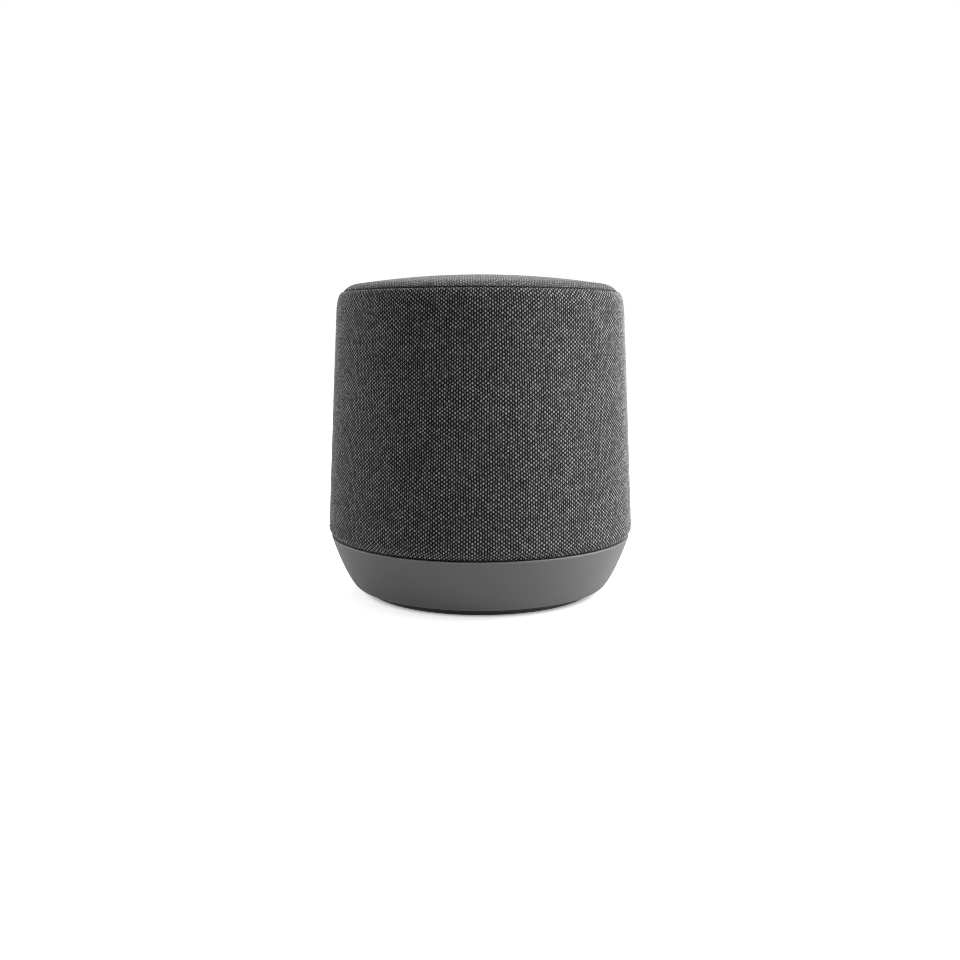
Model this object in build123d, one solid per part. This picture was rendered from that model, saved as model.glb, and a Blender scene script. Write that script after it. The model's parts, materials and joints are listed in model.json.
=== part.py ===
from build123d import *

import math
import os

# Fabric-covered table-top smart speaker, built from its separate pieces.
# Millimetres, +Z up. The origin is the centre of the underside, on the surface that the speaker
# stands on. The front faces -Y, and the socket bay with the power inlet and the controls is at +Y.
os.makedirs("parts", exist_ok=True)

# ---------------------------------------------------------------- driving dimensions
# Outer form, as radius and height
TOTAL_HEIGHT = 154.6
WIDEST_RADIUS = 75.0
WIDEST_HEIGHT = 32.2
WALL_MIDDLE_RADIUS = 72.5
WALL_MIDDLE_HEIGHT = 81.7
GROOVE_RADIUS = 66.6
SHOULDER_CENTRE_HEIGHT = 135.5
SHOULDER_WIDTH = 3.25
SHOULDER_RISE = 10.5
SHOULDER_START = 12.0  # degrees of the shoulder's ellipse at which the wall runs into it
CAP_RADIUS = 66.1
CAP_DOME_RADIUS = 380.0
CAP_EDGE_RADIUS = 8.0
CAP_EDGE_END = 35.0  # degrees above level at which the rounded edge meets the skirt
CAP_SKIRT_BOTTOM = 143.6
SEAM_RADIUS = 73.9
SEAM_HEIGHT = 28.6
SEAM_EDGE_RADIUS = 0.4
HEM_RADIUS = 73.9
HEM_HEIGHT = 28.9
BASE_LIP_RADIUS = 61.7
BASE_LIP_HEIGHT = 3.75
BASE_LOWER_BULGE = (64.1, 3.45)
BASE_UPPER_BULGE = (70.5, 17.15)
FOOT_RADIUS = 55.9

# Thicknesses
FABRIC = 0.9
CAP_FABRIC = 0.7
FRAME_WALL = 2.1
BASE_WALL = 2.4
CAP_WALL = 2.2
BOARD = 1.6

# Heights of the stacked assemblies
PLATE_BOTTOM = 3.2
PLATE_TOP = 5.4
MAIN_BOARD_BOTTOM = 8.4
MAIN_BOARD_TOP = MAIN_BOARD_BOTTOM + BOARD
REFLECTOR_BOTTOM = 26.5
REFLECTOR_TOP = 29.0
BAFFLE_BOTTOM = 56.0
BAFFLE_TOP = 60.0
ENCLOSURE_TOP = 128.0
SHELF_TOP = 140.4
TOP_BOARD_BOTTOM = 145.6
TOP_BOARD_TOP = 146.8

# Socket bay at the rear
BAY_HALF_WIDTH = 20.0
BAY_BOTTOM = 10.0
BAY_TOP = 23.0
BAY_CORNER = 3.0
BAY_WALL = 1.6
BAY_FACE = 59.2
CONTROL_HEIGHT = 16.5
MUTE_X = -12.5
SETUP_X = 12.5
MUTE_TRAVEL = 3.0

# Loudspeaker driver and radiators
DRIVER_RADIUS = 46.0
DRIVER_FACE = 53.4
RADIATOR_FACE = 57.5
RADIATOR_HEIGHT = 94.0
RADIATOR_RADIUS = 28.0
RADIATOR_OPENING = 25.5
ENCLOSURE_RADIUS = 60.0
ENCLOSURE_WALL = 3.0

# Fasteners
SCREW_RADIUS = 1.2
SCREW_HOLE_RADIUS = 1.3
HEAD_RADIUS = 2.0
HEAD_HEIGHT = 1.6
POST_CIRCLE = 52.0
ENCLOSURE_SCREW_CIRCLE = 54.2
DRIVER_SCREW_CIRCLE = 43.7
REFLECTOR_SCREW_CIRCLE = 66.2
PLATE_SCREW_CIRCLE = 58.1
CAP_SCREW_CIRCLE = 59.5
TOP_BOARD_SCREW_CIRCLE = 30.0
BOARD_POST_CIRCLE = 44.0

# Cables
RIBBON_RADIUS = 62.2
RIBBON_THICKNESS = 0.3
RIBBON_WIDTH = 12.0
LEAD_RADIUS = 0.8
LEAD_CIRCLE = 50.0
LEAD_ANGLE = 300.0
LEAD_SPREAD = 2.5


# ---------------------------------------------------------------- building blocks
def save(shape, node):
    """Writes one piece to the file that carries its name."""
    export_step(shape, f"parts/{node}.step")


def spun(face):
    """Turns a face that is drawn as (radius, height) round the vertical axis."""
    return revolve(Plane.XZ * face, Axis.Z)


def turned(*points):
    """A turned solid whose half section has straight sides."""
    return spun(make_face(Polyline(*points, close=True)))


def ring(inner, outer, low, high):
    """A flat ring or tube about the vertical axis."""
    return turned((inner, low), (outer, low), (outer, high), (inner, high))


def disc(radius, low, high):
    """A round plate about the vertical axis."""
    return Pos(0, 0, low) * Cylinder(radius, high - low, align=(Align.CENTER, Align.CENTER, Align.MIN))


def block(x_range, y_range, z_range):
    """A box between the given limits."""
    (x0, x1), (y0, y1), (z0, z1) = x_range, y_range, z_range
    middle = Pos((x0 + x1) / 2, (y0 + y1) / 2, (z0 + z1) / 2)
    return middle * Box(x1 - x0, y1 - y0, z1 - z0)


def spots(count, circle, start=0.0):
    """Places spread evenly round a circle, the first at the start angle."""
    return [Rot(0, 0, start + 360 / count * k) * Pos(circle, 0, 0) for k in range(count)]


def pegs(places, radius, low, high):
    """One round peg at each place, also used as a drill."""
    return [place * disc(radius, low, high) for place in places]


def screws(places, seat, tip):
    """Pan-head screws, with the head outside the seat and the shank reaching to the tip."""
    low, high = min(seat, tip), max(seat, tip)
    head = (seat - HEAD_HEIGHT, seat) if tip > seat else (seat, seat + HEAD_HEIGHT)
    made = []
    for place in places:
        screw = disc(SCREW_RADIUS, low, high) + disc(HEAD_RADIUS, *head)
        socket_low = head[0] if tip > seat else head[1] - HEAD_HEIGHT / 2
        socket = RegularPolygon(HEAD_RADIUS / 2, 6)
        screw -= Pos(0, 0, socket_low) * extrude(socket, HEAD_HEIGHT / 2)
        made.append(place * screw)
    return made


def half_roll(centre, base, radius, thickness, up):
    """Half section of a rolled edge: half a ring that stands up or hangs down from the base."""
    roll = Circle(radius) - Circle(radius - thickness)
    side = 1 if up else -1
    keep = Pos(0, side * radius) * Rectangle(2 * radius, 2 * radius)
    return Pos(centre, base) * (roll & keep)


def strip(r0, r1, z0, z1):
    """Half section of a flat band between two radii and two heights."""
    return Pos((r0 + r1) / 2, (z0 + z1) / 2) * Rectangle(r1 - r0, z1 - z0)


def cap_arc(rim_radius, rim_height, apex_height):
    """Arc of a dome from its rim to its apex on the axis."""
    sag = apex_height - rim_height
    sphere = (rim_radius**2 + sag**2) / (2 * sag)
    half = rim_radius / 2
    side = 1 if sag > 0 else -1
    middle = apex_height - sphere + side * math.sqrt(sphere**2 - half**2)
    return ThreePointArc((rim_radius, rim_height), (half, middle), (0, apex_height))


# ---------------------------------------------------------------- outer form
def shoulder_point(inset, angle):
    """A point of the rounded shoulder, an ellipse about a fixed centre."""
    turn = math.radians(angle)
    across = (SHOULDER_WIDTH - inset) * math.cos(turn)
    return (GROOVE_RADIUS + across, SHOULDER_CENTRE_HEIGHT + (SHOULDER_RISE - inset) * math.sin(turn))


def wall_curves(inset, start):
    """The wall from a start point at the bottom up to the groove, inset from the outer face."""
    middle = (WALL_MIDDLE_RADIUS - inset, WALL_MIDDLE_HEIGHT)
    wall = ThreePointArc(start, middle, shoulder_point(inset, SHOULDER_START))
    shoulder = EllipticalCenterArc(
        (GROOVE_RADIUS, SHOULDER_CENTRE_HEIGHT),
        SHOULDER_WIDTH - inset,
        SHOULDER_RISE - inset,
        SHOULDER_START,
        arc_size=90 - SHOULDER_START,
    )
    return [wall, shoulder]


def base_curve(inset):
    """The base's flared side, from its lip up to the start of its rounded top edge."""
    lip = (BASE_LIP_RADIUS - inset, BASE_LIP_HEIGHT + inset)
    lower = (BASE_LOWER_BULGE[0] - inset, BASE_LOWER_BULGE[1] + inset)
    upper = (BASE_UPPER_BULGE[0] - inset, BASE_UPPER_BULGE[1] + inset / 2)
    return Bezier(lip, lower, upper, (SEAM_RADIUS - inset, SEAM_HEIGHT - SEAM_EDGE_RADIUS))


def dome(radius, edge_radius, apex, skirt_bottom, thickness):
    """A shallow dome with a rounded edge and a straight skirt, as a shell."""
    faces = []
    end = math.radians(CAP_EDGE_END)
    half_way = (end + math.pi / 2) / 2
    for inset in (0, thickness):
        outer = radius - inset
        edge = max(edge_radius - inset, 0.5)
        sphere = CAP_DOME_RADIUS
        top = apex - inset
        rim = outer - edge * math.cos(end)
        rim_height = top - sphere + math.sqrt(sphere**2 - rim**2)
        centre = rim_height - edge
        skirt_top = centre + edge * math.sin(end)
        crown = ThreePointArc(
            (0, top),
            (rim / 2, top - sphere + math.sqrt(sphere**2 - (rim / 2) ** 2)),
            (rim, rim_height),
        )
        turn = ThreePointArc(
            (rim, rim_height),
            (rim + edge * math.cos(half_way), centre + edge * math.sin(half_way)),
            (outer, skirt_top),
        )
        side = Line((outer, skirt_top), (outer, skirt_bottom))
        floor = Line((outer, skirt_bottom), (0, skirt_bottom))
        axis = Line((0, skirt_bottom), (0, top))
        faces.append(make_face([crown, turn, side, floor, axis]))
    return spun(faces[0] - faces[1])


# ---------------------------------------------------------------- base
def build_base():
    """Foot, bottom plate and the smooth flared shell."""
    foot_inner, foot_rounding = 48.0, 0.8
    tongue, tongue_height, play = (51.5, 54.5), 1.1, 0.1
    foot = ring(foot_inner, FOOT_RADIUS, 0, PLATE_BOTTOM)
    foot = fillet(foot.edges().filter_by(GeomType.CIRCLE).group_by(Axis.Z)[0], foot_rounding)
    foot += ring(*tongue, PLATE_BOTTOM, PLATE_BOTTOM + tongue_height)
    save(foot, "foot_ring")

    plate_screws = spots(4, PLATE_SCREW_CIRCLE, 45)
    board_posts = spots(4, BOARD_POST_CIRCLE, 45)
    seat = PLATE_BOTTOM + HEAD_HEIGHT - 0.4
    plate = disc(60.3, PLATE_BOTTOM, PLATE_TOP)
    groove_top = PLATE_BOTTOM + tongue_height + play
    plate -= ring(tongue[0] - play, tongue[1] + play, PLATE_BOTTOM, groove_top)
    # The main board rests on four posts, whose pins are heat-staked through it.
    for post in pegs(board_posts, 3.0, PLATE_TOP, MAIN_BOARD_BOTTOM):
        plate += post
    for pin in pegs(board_posts, 1.2, MAIN_BOARD_BOTTOM, MAIN_BOARD_TOP + 0.6):
        plate += pin
    for hole in pegs(plate_screws, SCREW_HOLE_RADIUS, PLATE_BOTTOM, PLATE_TOP):
        plate -= hole
    for recess in pegs(plate_screws, HEAD_RADIUS + play, PLATE_BOTTOM, seat):
        plate -= recess
    save(plate, "base_plate")
    save(Compound(screws(plate_screws, seat, 11.5)), "base_plate_screws")

    # The shell's section: outer side, rounded top edge, inner side, flange and lip.
    flange_low, flange_high, flange_inner = 5.5, 7.0, 52.0
    lip_inner = 60.5
    flange_root = BASE_LIP_RADIUS - 1.6
    side_top = SEAM_HEIGHT - SEAM_EDGE_RADIUS
    edge_inner = SEAM_RADIUS - SEAM_EDGE_RADIUS
    edge_give = SEAM_EDGE_RADIUS * (1 - math.cos(math.radians(45)))
    inner_top = SEAM_RADIUS - BASE_WALL
    shell = spun(
        make_face(
            [
                base_curve(0),
                ThreePointArc(
                    (SEAM_RADIUS, side_top),
                    (SEAM_RADIUS - edge_give, SEAM_HEIGHT - edge_give),
                    (edge_inner, SEAM_HEIGHT),
                ),
                Line((edge_inner, SEAM_HEIGHT), (inner_top, SEAM_HEIGHT)),
                Bezier(
                    (flange_root, flange_high),
                    (BASE_LOWER_BULGE[0] - 1.15, flange_high + 0.6),
                    (BASE_UPPER_BULGE[0] - 2.0, BASE_UPPER_BULGE[1] + 2.15),
                    (inner_top, SEAM_HEIGHT),
                ),
                Polyline(
                    (flange_root, flange_high),
                    (flange_inner, flange_high),
                    (flange_inner, flange_low),
                    (lip_inner, flange_low),
                    (lip_inner, BASE_LIP_HEIGHT),
                    (BASE_LIP_RADIUS, BASE_LIP_HEIGHT),
                ),
            ]
        )
    )
    shell += ring(63.5, 70.8, REFLECTOR_BOTTOM - 2, REFLECTOR_BOTTOM)
    for boss in pegs(plate_screws, 3.2, flange_low, 12.0):
        shell += boss
    shell -= bay_block(0, BAY_FACE - BAY_WALL)
    for hole in pegs(plate_screws, SCREW_HOLE_RADIUS, flange_low, 12.0):
        shell -= hole
    ledge_holes = spots(4, REFLECTOR_SCREW_CIRCLE, 45)
    for hole in pegs(ledge_holes, SCREW_HOLE_RADIUS, REFLECTOR_BOTTOM - 3, REFLECTOR_BOTTOM + 1):
        shell -= hole
    save(shell, "base_shell")


def bay_block(inset, front):
    """The rounded block of the socket bay, from its front plane out past the shell."""
    section = RectangleRounded(
        2 * (BAY_HALF_WIDTH - inset),
        BAY_TOP - BAY_BOTTOM - 2 * inset,
        BAY_CORNER - inset * 0.6,
    )
    face = Plane.XZ.offset(-front) * Pos(0, (BAY_TOP + BAY_BOTTOM) / 2) * section
    return extrude(face, -20)


# ---------------------------------------------------------------- socket bay and controls
def along_y(radius, start, end, x, z):
    """A round bar along +Y at the given place."""
    bar = Cylinder(radius, end - start, align=(Align.CENTER, Align.CENTER, Align.MIN))
    return Pos(x, start, z) * Rot(-90, 0, 0) * bar


def build_bay():
    """The bay's tray, the power inlet, the mute switch and the set-up button."""
    jack_nose, jack_bore, jack_depth = 4.6, 3.1, 9.5
    slot_length, slot_height = 8.6, 3.2
    button_radius = 2.6
    back = BAY_FACE - BAY_WALL

    tray = bay_block(0.1, back) - bay_block(0.1 + BAY_WALL, BAY_FACE)
    envelope = spun(
        make_face(
            [
                base_curve(0.5),
                Polyline(
                    (SEAM_RADIUS - 0.5, SEAM_HEIGHT - SEAM_EDGE_RADIUS),
                    (0, SEAM_HEIGHT - SEAM_EDGE_RADIUS),
                    (0, BASE_LIP_HEIGHT + 0.5),
                    (BASE_LIP_RADIUS - 0.5, BASE_LIP_HEIGHT + 0.5),
                ),
            ]
        )
    )
    tray &= envelope
    tray -= along_y(jack_nose + 0.1, back - 1, BAY_FACE + 1, 0, CONTROL_HEIGHT)
    slot = SlotOverall(slot_length, slot_height)
    slot_face = Plane.XZ.offset(-back + 1) * Pos(MUTE_X, CONTROL_HEIGHT) * slot
    tray -= extrude(slot_face, -BAY_WALL - 2)
    tray -= along_y(button_radius + 0.15, back - 1, BAY_FACE + 1, SETUP_X, CONTROL_HEIGHT)
    save(tray, "rear_panel")

    jack = block((-5, 5), (45, back - 0.1), (MAIN_BOARD_TOP, CONTROL_HEIGHT + 5.6))
    jack += along_y(jack_nose, back - 0.2, BAY_FACE, 0, CONTROL_HEIGHT)
    jack -= along_y(jack_bore, BAY_FACE - jack_depth, BAY_FACE + 1, 0, CONTROL_HEIGHT)
    save(jack, "power_jack")
    pin = along_y(1.0, BAY_FACE - jack_depth, BAY_FACE - 1.0, 0, CONTROL_HEIGHT)
    pin = fillet(pin.edges().filter_by(GeomType.CIRCLE).sort_by(Axis.Y)[-1], 0.6)
    save(pin, "power_jack_pin")

    board = block((-23, 23), (49.0, 50.2), (MAIN_BOARD_TOP + 0.1, 25.6))
    board -= block((-5.6, 5.6), (48, 51), (MAIN_BOARD_TOP - 1, CONTROL_HEIGHT + 6.2))
    save(board, "control_board")

    switch_front = 54.2
    switch = block((MUTE_X - 4.5, MUTE_X + 4.5), (50.2, switch_front), (14.5, 18.5))
    switch -= block((MUTE_X - 3.3, MUTE_X + 3.3), (52.4, 55), (15.7, 17.3))
    tact = block((SETUP_X - 3, SETUP_X + 3), (50.2, 53.4), (13.5, 19.5))
    save(Compound([switch, tact]), "control_switches")
    # The knob rests at its -X end, where the microphones are on.
    rest = MUTE_X - MUTE_TRAVEL / 2
    knob = block((rest - 3.6, rest + 3.6), (55.0, back - 0.2), (13.6, 19.4))
    tab_low, tab_high = CONTROL_HEIGHT - 1.3, CONTROL_HEIGHT + 1.3
    tab = block((rest - 2.2, rest + 2.2), (back - 0.3, BAY_FACE + 1.4), (tab_low, tab_high))
    knob += fillet(tab.edges().filter_by(Axis.Y), 0.9)
    for offset in (-1.2, 0, 1.2):
        groove = block((-0.25, 0.25), (BAY_FACE + 1.1, BAY_FACE + 2), (-3, 3))
        knob -= Pos(rest + offset, 0, CONTROL_HEIGHT) * groove
    knob += block((rest - 0.7, rest + 0.7), (52.8, 55.1), (CONTROL_HEIGHT - 0.5, CONTROL_HEIGHT + 0.5))
    save(knob, "mute_slider")

    button = along_y(button_radius, 56.4, BAY_FACE + 0.7, SETUP_X, CONTROL_HEIGHT)
    button = fillet(button.edges().filter_by(GeomType.CIRCLE).sort_by(Axis.Y)[-1], 0.4)
    button += along_y(button_radius + 0.9, 56.3, back - 0.1, SETUP_X, CONTROL_HEIGHT)
    button += along_y(1.3, 54.1, 56.4, SETUP_X, CONTROL_HEIGHT)
    save(button, "setup_button")


# ---------------------------------------------------------------- electronics in the base
def build_main_board():
    """The main board with the parts that stand on it."""
    top = MAIN_BOARD_TOP
    posts = spots(4, BOARD_POST_CIRCLE, 45)
    board = disc(50.0, MAIN_BOARD_BOTTOM, top)
    board += block((-12, 12), (40, 57), (MAIN_BOARD_BOTTOM, top))
    for hole in pegs(posts, SCREW_HOLE_RADIUS, MAIN_BOARD_BOTTOM - 1, top + 1):
        board -= hole
    save(board, "main_board")

    can = block((6, 32), (-22, 0), (top, top + 3.2))
    can -= block((6.4, 31.6), (-21.6, -0.4), (top - 1, top + 2.8))
    save(can, "shield_can")
    save(block((12, 26), (-18, -4), (top, top + 1.3)), "processor")
    save(block((-21, -11), (-13, -3), (top, top + 1.0)), "amplifier_chip")

    sink_low = top + 1.0
    sink = block((-32, 0), (-22, 6), (sink_low, sink_low + 2))
    fins = 8
    for k in range(fins):
        x = -32 + k * (32 - 1.2) / (fins - 1)
        sink += block((x, x + 1.2), (-22, 6), (sink_low + 1.9, sink_low + 11))
    save(sink, "heat_sink")

    cans = [Pos(x, y, 0) * disc(4.0, top, top + 12.5) for x, y in ((-24, 22), (-13, 27), (14, 25))]
    cans = [fillet(c.edges().group_by(Axis.Z)[-1], 0.6) for c in cans]
    save(Compound(cans), "capacitors")

    sockets = [block((-7, 7), (-42, -38), (top, top + 3.0))]
    sockets.append(block((-7, 7), (-42, -38), (TOP_BOARD_BOTTOM - 2.0, TOP_BOARD_BOTTOM)))
    sockets.append(Rot(0, 0, LEAD_ANGLE) * block((34, 40), (-5, 5), (top, top + 5.0)))
    save(Compound(sockets), "board_connectors")


# ---------------------------------------------------------------- sound reflector and enclosure
def build_reflector():
    """The cone that turns the sound outwards, with the posts that carry the enclosure."""
    posts = spots(4, POST_CIRCLE, 45)
    cone_foot, cone_top, plate_radius = 44.0, 46.0, 69.5
    section = make_face(
        [
            ThreePointArc((cone_foot, REFLECTOR_TOP), (19.0, 33.6), (2.0, cone_top)),
            Polyline(
                (2.0, cone_top),
                (0, cone_top),
                (0, REFLECTOR_BOTTOM),
                (plate_radius, REFLECTOR_BOTTOM),
                (plate_radius, REFLECTOR_TOP),
                (cone_foot, REFLECTOR_TOP),
            ),
        ]
    )
    body = spun(section)
    for post in pegs(posts, 4.4, REFLECTOR_TOP - 0.1, BAFFLE_BOTTOM):
        body += post
    for hole in pegs(posts, SCREW_HOLE_RADIUS, BAFFLE_BOTTOM - 14, BAFFLE_BOTTOM + 1):
        body -= hole
    edge = spots(4, REFLECTOR_SCREW_CIRCLE, 45)
    for hole in pegs(edge, SCREW_HOLE_RADIUS, REFLECTOR_BOTTOM - 1, REFLECTOR_TOP + 1):
        body -= hole
    for hole in lead_holes(REFLECTOR_BOTTOM - 1, REFLECTOR_TOP + 2):
        body -= hole
    ribbon_slot = (-RIBBON_RADIUS - 1, -RIBBON_RADIUS + 1)
    body -= block((-7, 7), ribbon_slot, (REFLECTOR_BOTTOM - 1, REFLECTOR_TOP + 1))
    save(body, "reflector")
    save(Compound(screws(edge, REFLECTOR_BOTTOM - 2, REFLECTOR_TOP)), "reflector_screws")
    save(Compound(screws(posts, BAFFLE_TOP, BAFFLE_BOTTOM - 9)), "post_screws")


def lead_holes(low, high):
    """Drills for the two driver leads."""
    places = [Rot(0, 0, LEAD_ANGLE) * Pos(LEAD_CIRCLE, side * LEAD_SPREAD, 0) for side in (-1, 1)]
    return pegs(places, LEAD_RADIUS + 0.2, low, high)


def facing(side, part):
    """Turns a part that is made facing up so that it sits on the left or right radiator seat."""
    return Pos(side * RADIATOR_FACE, 0, RADIATOR_HEIGHT) * Rot(0, side * 90, 0) * part


def build_enclosure():
    """The sealed box that the driver and the two radiators work into."""
    posts = spots(4, POST_CIRCLE, 45)
    edge = spots(8, ENCLOSURE_SCREW_CIRCLE, 22.5)
    driver = spots(4, DRIVER_SCREW_CIRCLE, 0)
    gasket_top = BAFFLE_TOP + 0.6
    inner_radius = ENCLOSURE_RADIUS - ENCLOSURE_WALL

    baffle = ring(41.6, ENCLOSURE_RADIUS, BAFFLE_BOTTOM, BAFFLE_TOP)
    for hole in pegs(posts + edge + driver, SCREW_HOLE_RADIUS, BAFFLE_BOTTOM - 1, BAFFLE_TOP + 1):
        baffle -= hole
    for hole in lead_holes(BAFFLE_BOTTOM - 1, BAFFLE_TOP + 1):
        baffle -= hole
    save(baffle, "enclosure_baffle")
    save(ring(inner_radius + 0.2, ENCLOSURE_RADIUS, BAFFLE_TOP, gasket_top), "enclosure_gasket")

    cup = disc(ENCLOSURE_RADIUS, gasket_top, ENCLOSURE_TOP)
    cup = fillet(cup.edges().group_by(Axis.Z)[-1], 4.0)
    hollow = disc(inner_radius, gasket_top - 1, ENCLOSURE_TOP - ENCLOSURE_WALL)
    cup -= fillet(hollow.edges().group_by(Axis.Z)[-1], 2.0)
    for boss in pegs(edge, 3.4, gasket_top, 70.0):
        cup += boss
    for side in (-1, 1):
        cup += facing(side, disc(RADIATOR_RADIUS + 1, -11.5, 0))
    for side in (-1, 1):
        cup -= facing(side, disc(RADIATOR_OPENING, -20, 5))
        cup -= facing(side, disc(RADIATOR_RADIUS + 1, 0, 6))
    for hole in pegs(edge, SCREW_HOLE_RADIUS, gasket_top - 1, 69.0):
        cup -= hole
    save(cup, "enclosure_cup")
    save(Compound(screws(edge, BAFFLE_BOTTOM, 68.0)), "enclosure_screws")

    antennas = []
    for angle in (60, 120):
        flat = ENCLOSURE_RADIUS + 0.1
        antennas.append(Rot(0, 0, angle) * block((flat, flat + 0.8), (-11, 11), (108, 118)))
    save(Compound(antennas), "wifi_antennas")


def build_radiator(side, name):
    """One passive radiator: frame, rolled surround, diaphragm and its weight."""
    frame = turned(
        (RADIATOR_RADIUS, 0),
        (RADIATOR_RADIUS, 1.6),
        (24.6, 1.6),
        (24.6, 0.6),
        (26.6, 0.6),
        (26.6, 0),
    )
    save(facing(side, frame), f"radiator_{name}_frame")
    roll = strip(24.1, 26.5, 0, 0.5) + half_roll(22.0, 0.0, 2.4, 0.5, True)
    roll += strip(17.4, 19.9, 0, 0.5)
    save(facing(side, spun(roll)), f"radiator_{name}_surround")
    plate = disc(19.3, -1.2, 0) - disc(15.5, -0.4, 1) + disc(10.0, -0.5, 0.0)
    save(facing(side, plate), f"radiator_{name}_diaphragm")
    weight = disc(9.0, -4.6, -1.2)
    weight = fillet(weight.edges().group_by(Axis.Z)[0], 0.5)
    save(facing(side, weight), f"radiator_{name}_weight")


# ---------------------------------------------------------------- driver
def build_driver():
    """The down-facing driver: basket, motor, suspension and cone."""
    face = DRIVER_FACE
    flange_top = 55.4
    motor = 82.0
    basket_holes = spots(4, DRIVER_SCREW_CIRCLE, 0)

    basket = ring(38.8, DRIVER_RADIUS, face, flange_top)
    basket += turned(
        (41.2, face + 1),
        (41.2, flange_top),
        (31.5, motor),
        (29.4, motor),
        (38.8, flange_top),
        (38.8, face + 1),
    )
    basket += ring(15.0, 31.5, motor - 2, motor)
    basket += turned((27.4, 72.6), (33.0, 72.6), (32.4, 73.5), (27.4, 73.5))
    for k in range(4):
        window = block((15, 60), (-13, 13), (58.5, 71.0))
        window += block((28.0, 60), (-9, 9), (75.0, 79.5))
        basket -= Rot(0, 0, 90 * k) * window
    for hole in pegs(basket_holes, SCREW_HOLE_RADIUS, face - 1, flange_top + 1):
        basket -= hole
    save(basket, "woofer_basket")
    gasket = ring(41.6, DRIVER_RADIUS, flange_top, BAFFLE_BOTTOM)
    for hole in pegs(basket_holes, SCREW_HOLE_RADIUS, flange_top - 1, BAFFLE_BOTTOM + 1):
        gasket -= hole
    save(gasket, "woofer_gasket")
    save(Compound(screws(basket_holes, face, BAFFLE_TOP - 0.4)), "woofer_screws")

    surround = strip(38.2, 41.2, face - 0.5, face) + half_roll(35.9, face, 2.8, 0.5, False)
    surround += strip(30.9, 33.6, face - 0.5, face)
    save(spun(surround), "woofer_surround")
    cone = turned(
        (33.1, face),
        (33.1, face + 0.6),
        (31.4, face + 0.6),
        (12.8, 67.8),
        (12.8, 66.9),
        (31.2, face),
    )
    save(cone, "woofer_cone")
    rim, thickness = 13.7, 0.5
    dust_cap = make_face(
        [
            cap_arc(rim, 65.8, 61.6),
            Line((0, 61.6), (0, 61.6 + thickness)),
            cap_arc(rim, 65.8 + thickness, 61.6 + thickness),
            Line((rim, 65.8 + thickness), (rim, 65.8)),
        ]
    )
    save(spun(dust_cap), "woofer_dust_cap")
    save(ring(12.5, 12.7, 66.4, 86.0), "voice_coil_former")
    save(ring(12.7, 13.2, 79.0, 89.0) & ring(12, 14, 79.0, 86.0), "voice_coil")

    spider_height = 73.5
    spider = strip(12.8, 13.8, spider_height, spider_height + 0.4)
    rolls, roll_radius = 4, 1.9
    for k in range(rolls):
        centre = 15.2 + k * (2 * roll_radius - 0.4)
        spider += half_roll(centre, spider_height + 0.2, roll_radius, 0.4, k % 2 == 0)
    spider += strip(27.0, 29.3, spider_height, spider_height + 0.4)
    save(spun(spider), "woofer_spider")

    save(ring(13.7, 30.0, motor, motor + 4), "woofer_top_plate")
    save(ring(17.0, 34.0, motor + 4, motor + 15), "woofer_magnet")
    yoke = disc(33.0, motor + 15, motor + 19.5) + disc(12.1, motor - 0.5, motor + 15.1)
    yoke -= disc(3.5, motor - 2, motor + 21)
    yoke = chamfer(yoke.edges().group_by(Axis.Z)[-1].sort_by(SortBy.RADIUS)[-1], 1.0)
    save(yoke, "woofer_yoke")
    strip_block = block((34.7, 37.3), (-5.5, 5.5), (74.2, 78.2))
    save(Rot(0, 0, LEAD_ANGLE) * strip_block, "woofer_terminals")


# ---------------------------------------------------------------- grille frame and fabric
def wall_body(inset, foot):
    """The filled body inside the wall's outer face, shrunk by the inset, from the foot height up."""
    hem = (HEM_RADIUS - inset, foot)
    widest = (WIDEST_RADIUS - inset, WIDEST_HEIGHT)
    crest = SHOULDER_CENTRE_HEIGHT + SHOULDER_RISE - inset
    closing = Polyline((GROOVE_RADIUS, crest), (0, crest), (0, foot), hem)
    return spun(make_face([Line(hem, widest), *wall_curves(inset, widest), closing]))


def build_wall():
    """The slotted grille frame and the woven sleeve that is stretched over it."""
    neck_bottom = 143.4
    crest = SHOULDER_CENTRE_HEIGHT + SHOULDER_RISE
    neck = GROOVE_RADIUS + FABRIC
    sleeve = wall_body(0, HEM_HEIGHT) - wall_body(FABRIC, HEM_HEIGHT)
    sleeve -= disc(GROOVE_RADIUS, crest - 5, crest + 1)
    sleeve += ring(GROOVE_RADIUS, neck, neck_bottom, crest - FABRIC + 0.1)
    save(sleeve, "fabric_sleeve")

    gap = FABRIC + 0.1
    frame = wall_body(gap, SEAM_HEIGHT) - wall_body(gap + FRAME_WALL, SEAM_HEIGHT)
    frame -= disc(neck + 0.05, SHELF_TOP, crest + 1)
    frame += ring(56.5, 67.3, SHELF_TOP - 2, SHELF_TOP)
    slots_round, slot_width = 32, 8.0
    for low, high in ((36.0, 78.0), (82.0, 124.0)):
        for k in range(slots_round // 2):
            bar = block((-80, 80), (-slot_width / 2, slot_width / 2), (low, high))
            frame -= Rot(0, 0, 360 / slots_round * k) * bar
    for hole in pegs(spots(3, CAP_SCREW_CIRCLE, 30), SCREW_HOLE_RADIUS, SHELF_TOP - 3, SHELF_TOP + 1):
        frame -= hole
    save(frame, "grille_frame")


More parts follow.
